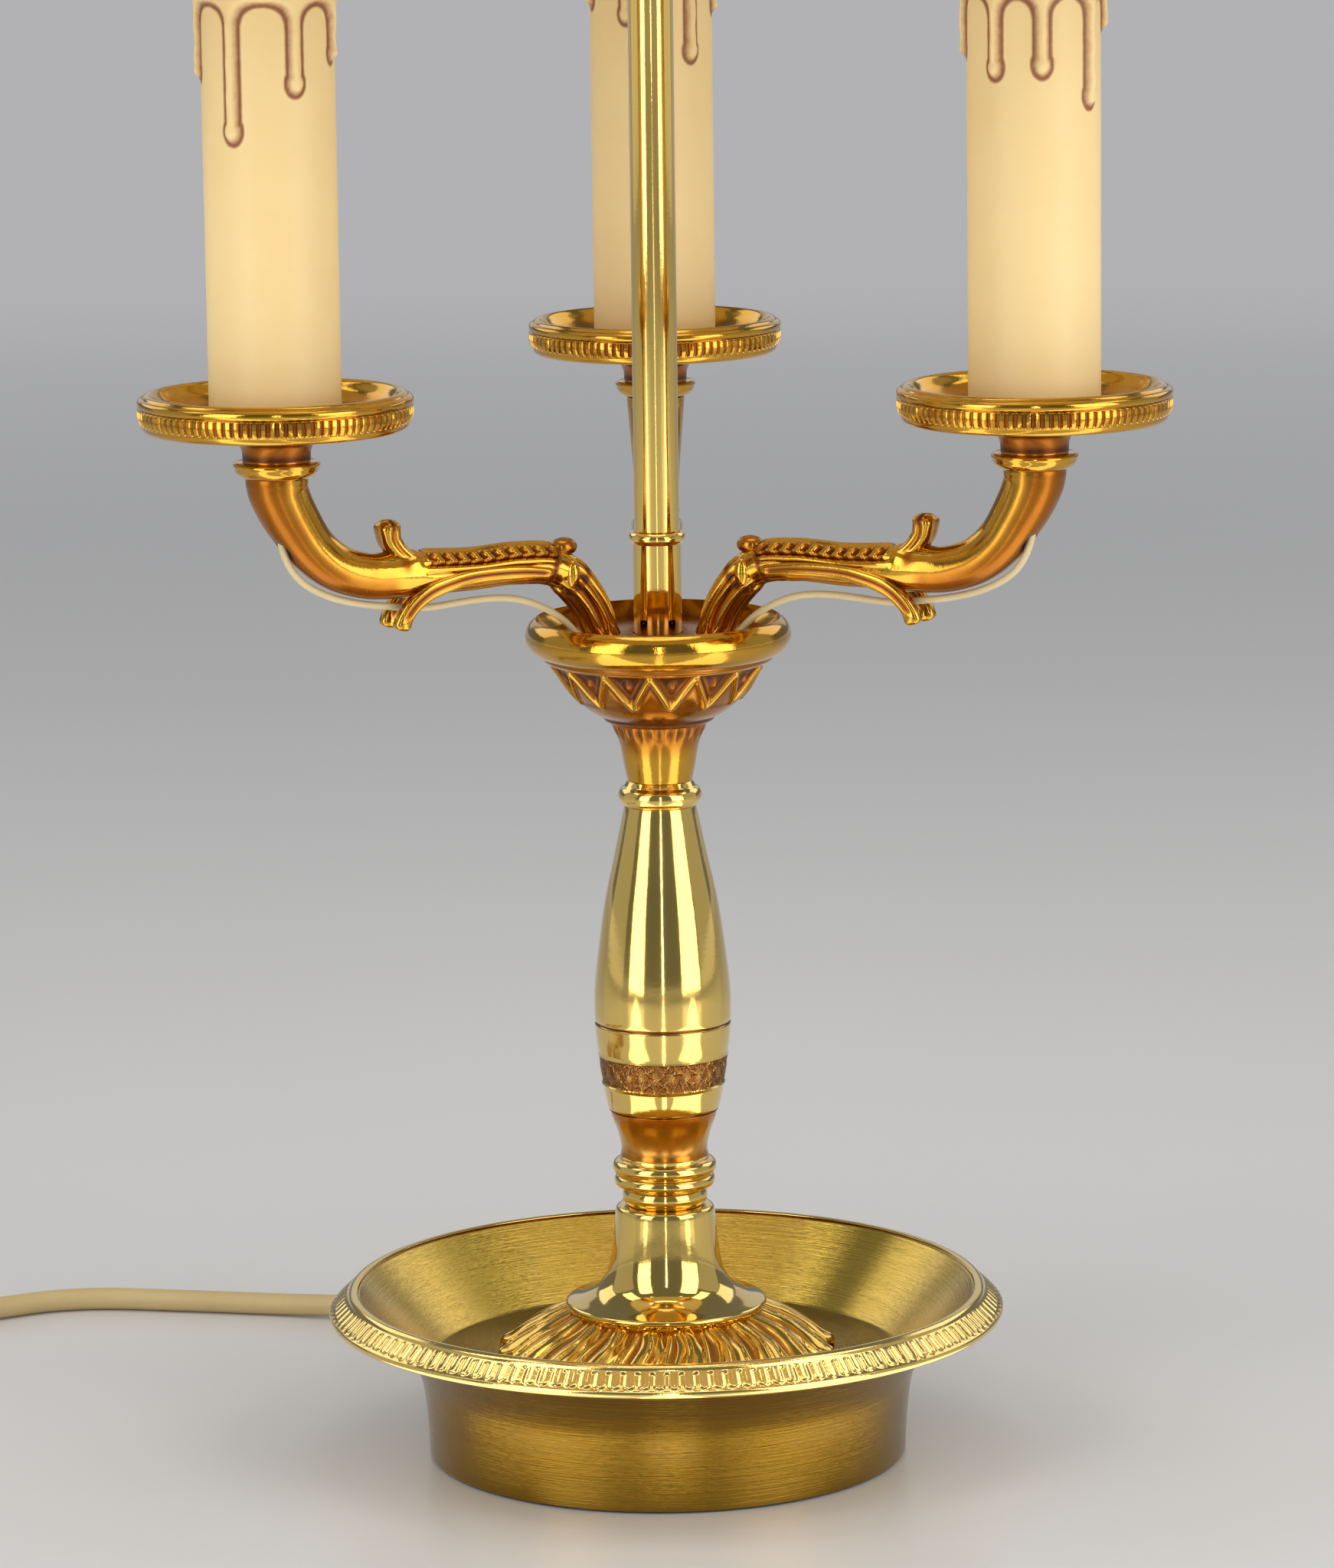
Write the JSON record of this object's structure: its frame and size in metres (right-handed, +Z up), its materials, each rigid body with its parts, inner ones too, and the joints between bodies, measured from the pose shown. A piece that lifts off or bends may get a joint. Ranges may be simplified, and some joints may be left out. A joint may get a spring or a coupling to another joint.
{
  "type": "bouillotte lamp",
  "caption": "Brass table lamp with a dished base, turned column, cast candle arms and a conical painted shade that slides and turns on a central rod.",
  "frame": {"origin": "centre of the felt pad's underside, on the column's axis", "axes": "+Z up along the column, -Y to the front, one arm points to the rear along +Y"},
  "size_m": [0.4469, 0.3226, 0.5438],
  "materials": {
    "polished_brass": "polished, warm gold lacquer",
    "satin_brass": "satin, fine circular brushing",
    "cast_brass": "cast and chased, amber-brown in the recesses",
    "wire_covering": "thin pale beige sleeve",
    "cord_covering": "smooth beige-gold sheath",
    "candle_plastic": "ivory with brown-shaded wax drips",
    "lampholder_plastic": "plain moulded",
    "bulb_glass": "clear glass",
    "cap_metal": "nickel plated",
    "shade_paint": "dark green lacquer, gilt lines, pale inside",
    "felt": "green felt",
    "ballast_iron": "raw casting",
    "fitting_plastic": "gold-beige moulded plastic"
  },
  "bodies": {
    "lamp": {"foot": "polished_brass", "foot_ring": "polished_brass", "double_knop": "polished_brass", "vase": "polished_brass", "vase_collar": "polished_brass", "rod_socket": "polished_brass", "rod": "polished_brass", "centre_tube": "polished_brass", "base_drum": "satin_brass", "dish": "satin_brass", "rim_moulding": "cast_brass", "leaf_rosette": "cast_brass", "vase_cup": "cast_brass", "arm_cup": "cast_brass", "cup_cover": "cast_brass", "left_arm": "cast_brass", "left_pan_collar": "cast_brass", "left_drip_pan": "cast_brass", "left_arm_wire": "wire_covering", "left_lampholder": "lampholder_plastic", "left_candle_sleeve": "candle_plastic", "left_bulb_glass": "bulb_glass", "right_arm": "cast_brass", "right_pan_collar": "cast_brass", "right_drip_pan": "cast_brass", "right_arm_wire": "wire_covering", "right_lampholder": "lampholder_plastic", "right_candle_sleeve": "candle_plastic", "right_bulb_glass": "bulb_glass", "rear_arm": "cast_brass", "rear_pan_collar": "cast_brass", "rear_drip_pan": "cast_brass", "rear_arm_wire": "wire_covering", "rear_lampholder": "lampholder_plastic", "rear_candle_sleeve": "candle_plastic", "rear_bulb_glass": "bulb_glass", "bulb_caps": "cap_metal", "felt_pad": "felt", "ballast_plate": "ballast_iron", "base_nut": "cap_metal", "arm_screws": "cap_metal", "strain_relief": "cord_covering", "terminal_block": "lampholder_plastic", "cord_lead": "cord_covering", "cord_bend": "cord_covering", "cord_coil": "cord_covering", "cord_tail": "cord_covering", "plug_body": "fitting_plastic", "plug_pins": "cap_metal", "switch_base": "fitting_plastic", "switch_cover": "fitting_plastic"},
    "carrier": {"shade_carrier": "polished_brass"},
    "shade_group": {"shade_front": "shade_paint", "shade_back": "shade_paint", "shade_bottom_ring": "satin_brass", "shade_top_ring": "satin_brass", "shade_spider": "polished_brass"},
    "clamp_key": {"shade_key": "polished_brass"},
    "finial_knob": {"finial": "polished_brass"},
    "rocker": {"switch_rocker": "fitting_plastic"}
  },
  "joints": [
    {"name": "carrier_slide", "type": "slide", "parent": "lamp", "child": "carrier", "axis": [0, 0, 1], "range_m": [-0.03, 0.035]},
    {"name": "shade_turn", "type": "hinge", "parent": "carrier", "child": "shade_group", "pos_m": [0, 0, 0.456], "axis": [0, 0, 1], "continuous": true},
    {"name": "key_turn", "type": "hinge", "parent": "carrier", "child": "clamp_key", "pos_m": [0, 0, 0.444], "axis": [0.866, 0.5, 0], "range_deg": [-720, 0]},
    {"name": "finial_turn", "type": "hinge", "parent": "lamp", "child": "finial_knob", "pos_m": [0, 0, 0.5], "axis": [0, 0, 1], "range_deg": [0, 1080]},
    {"name": "rocker_tilt", "type": "hinge", "parent": "lamp", "child": "rocker", "pos_m": [-0.22309, 0.06932, 0.0126], "axis": [-0.5736, 0.8192, 0], "range_deg": [0, 14]}
  ]
}
